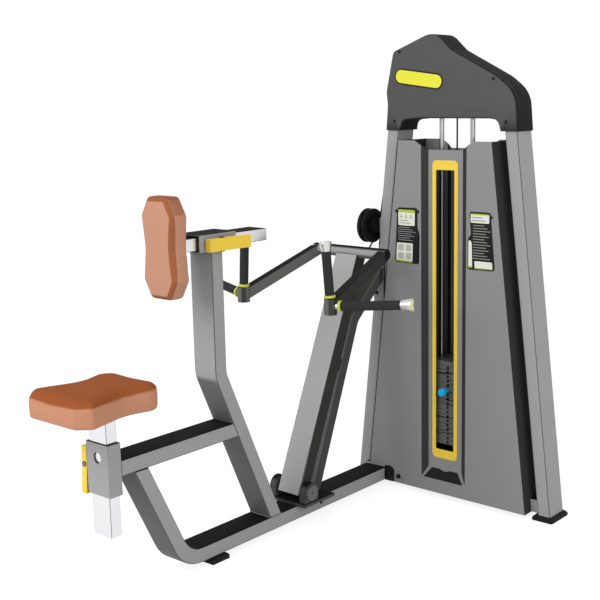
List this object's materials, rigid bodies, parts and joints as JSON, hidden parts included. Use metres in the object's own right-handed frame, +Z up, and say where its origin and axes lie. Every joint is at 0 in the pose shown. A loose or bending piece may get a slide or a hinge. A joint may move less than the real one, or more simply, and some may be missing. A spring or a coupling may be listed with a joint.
{
  "type": "vertical row machine",
  "caption": "Seated row machine with a bent tube base, adjustable seat and chest pad, a swinging grip lever, and a cabled weight stack inside a shrouded tapering tower.",
  "frame": {"origin": "centre of the front foot's underside", "axes": "+Z up, +X from the seat to the tower, +Y to the seated user's left"},
  "size_m": [1.445, 1.1133, 1.4998],
  "materials": {
    "grey_paint": "satin",
    "cover_plastic": "matte",
    "yellow_plastic": "satin",
    "brown_leather": "satin",
    "black_foam": "matte",
    "chrome": "polished",
    "black_plastic": "satin",
    "black_rubber": "matte",
    "plate_steel": "satin",
    "blue_plastic": "gloss",
    "cable_coat": "satin"
  },
  "bodies": {
    "frame": {"base_beam": "grey_paint", "front_foot": "black_rubber", "chest_post": "grey_paint", "seat_beam": "grey_paint", "seat_sleeve": "grey_paint", "seat_sleeve_liner": "black_plastic", "chest_sleeve": "grey_paint", "chest_sleeve_liner": "black_plastic", "pivot_plate": "grey_paint", "left_bearing": "grey_paint", "right_bearing": "grey_paint", "brace_strut": "grey_paint", "stop_bumper": "black_rubber", "left_post": "grey_paint", "right_post": "grey_paint", "tower_base": "grey_paint", "tower_top_beam": "grey_paint", "left_foot": "black_rubber", "right_foot": "black_rubber", "top_cover": "cover_plastic", "front_shroud": "grey_paint", "rear_shroud": "grey_paint", "window_trim": "yellow_plastic", "left_guide_rod": "chrome", "right_guide_rod": "chrome", "stack_rest": "black_rubber", "resting_plates": "plate_steel", "cable_lever_run": "cable_coat", "cable_main_run": "cable_coat"},
    "lever": {"lever_post": "grey_paint", "cross_tube": "grey_paint", "left_arm": "grey_paint", "right_arm": "grey_paint", "left_upright_grip_bar": "chrome", "left_upright_grip_foam": "black_foam", "left_level_grip_bar": "chrome", "left_level_grip_foam": "black_foam", "right_upright_grip_bar": "chrome", "right_upright_grip_foam": "black_foam", "right_level_grip_bar": "chrome", "right_level_grip_foam": "black_foam", "pivot_shaft": "chrome"},
    "stack": {"head_plate": "plate_steel", "lifted_plates": "plate_steel", "cable_stack_run": "cable_coat"},
    "selector": {"selector_pin": "blue_plastic"},
    "front_wheel": {"front_pulley": "black_plastic"},
    "left_wheel": {"left_top_pulley": "black_plastic"},
    "centre_wheel": {"centre_top_pulley": "black_plastic"},
    "seat": {"seat_tube": "chrome", "seat_plate": "black_plastic", "seat_pad": "brown_leather"},
    "chest_rest": {"chest_tube": "chrome", "chest_plate": "black_plastic", "chest_pad": "brown_leather"},
    "seat_handle": {"seat_latch": "yellow_plastic"},
    "chest_handle": {"chest_latch": "yellow_plastic"},
    "seat_lock": {"seat_latch_pin": "chrome"},
    "chest_lock": {"chest_latch_pin": "chrome"}
  },
  "joints": [
    {"name": "lever_swing", "type": "hinge", "parent": "frame", "child": "lever", "pos_m": [0.3735, 0, 0.1], "axis": [0, -1, 0], "range_deg": [0, 35]},
    {"name": "stack_lift", "type": "slide", "parent": "frame", "child": "stack", "axis": [0, 0, 1], "range_m": [0, 0.355], "deforming": ["cable_stack_run"]},
    {"name": "selector_pull", "type": "slide", "parent": "stack", "child": "selector", "axis": [-1, 0, 0], "range_m": [0, 0.06]},
    {"name": "front_wheel_spin", "type": "hinge", "parent": "frame", "child": "front_wheel", "pos_m": [0.802, 0.02, 0.889], "axis": [0, 1, 0], "range_deg": [0, 425]},
    {"name": "left_wheel_spin", "type": "hinge", "parent": "frame", "child": "left_wheel", "pos_m": [0.864, -0.096, 1.345], "axis": [-1, 0, 0], "range_deg": [0, 510]},
    {"name": "centre_wheel_spin", "type": "hinge", "parent": "frame", "child": "centre_wheel", "pos_m": [0.864, -0.244, 1.345], "axis": [-1, 0, 0], "range_deg": [0, 510]},
    {"name": "seat_height", "type": "slide", "parent": "frame", "child": "seat", "axis": [0, 0, 1], "range_m": [-0.06, 0.09]},
    {"name": "chest_reach", "type": "slide", "parent": "frame", "child": "chest_rest", "axis": [1, 0, 0], "range_m": [-0.1, 0.04]},
    {"name": "seat_handle_press", "type": "hinge", "parent": "frame", "child": "seat_handle", "pos_m": [-0.35, 0.06, 0.373], "axis": [-1, 0, 0], "range_deg": [0, 7], "stiffness_Nm_per_rad": 3, "springref_deg": -11.46},
    {"name": "chest_handle_press", "type": "hinge", "parent": "frame", "child": "chest_handle", "pos_m": [0.042, -0.06, 0.9172], "axis": [0, 0, 1], "range_deg": [0, 7], "stiffness_Nm_per_rad": 3, "springref_deg": -11.46},
    {"name": "seat_lock_draw", "type": "slide", "parent": "frame", "child": "seat_lock", "axis": [0, 1, 0], "range_m": [0, 0.0045]},
    {"name": "chest_lock_draw", "type": "slide", "parent": "frame", "child": "chest_lock", "axis": [0, -1, 0], "range_m": [0, 0.0045]}
  ],
  "couplings": [
    {"joint": "stack_lift", "follows": "lever_swing", "m_per_rad": 0.58},
    {"joint": "front_wheel_spin", "follows": "lever_swing", "ratio": 12.083},
    {"joint": "left_wheel_spin", "follows": "lever_swing", "ratio": 14.5},
    {"joint": "centre_wheel_spin", "follows": "lever_swing", "ratio": 14.5},
    {"joint": "seat_lock_draw", "follows": "seat_handle_press", "m_per_rad": 0.032},
    {"joint": "chest_lock_draw", "follows": "chest_handle_press", "m_per_rad": 0.032}
  ]
}
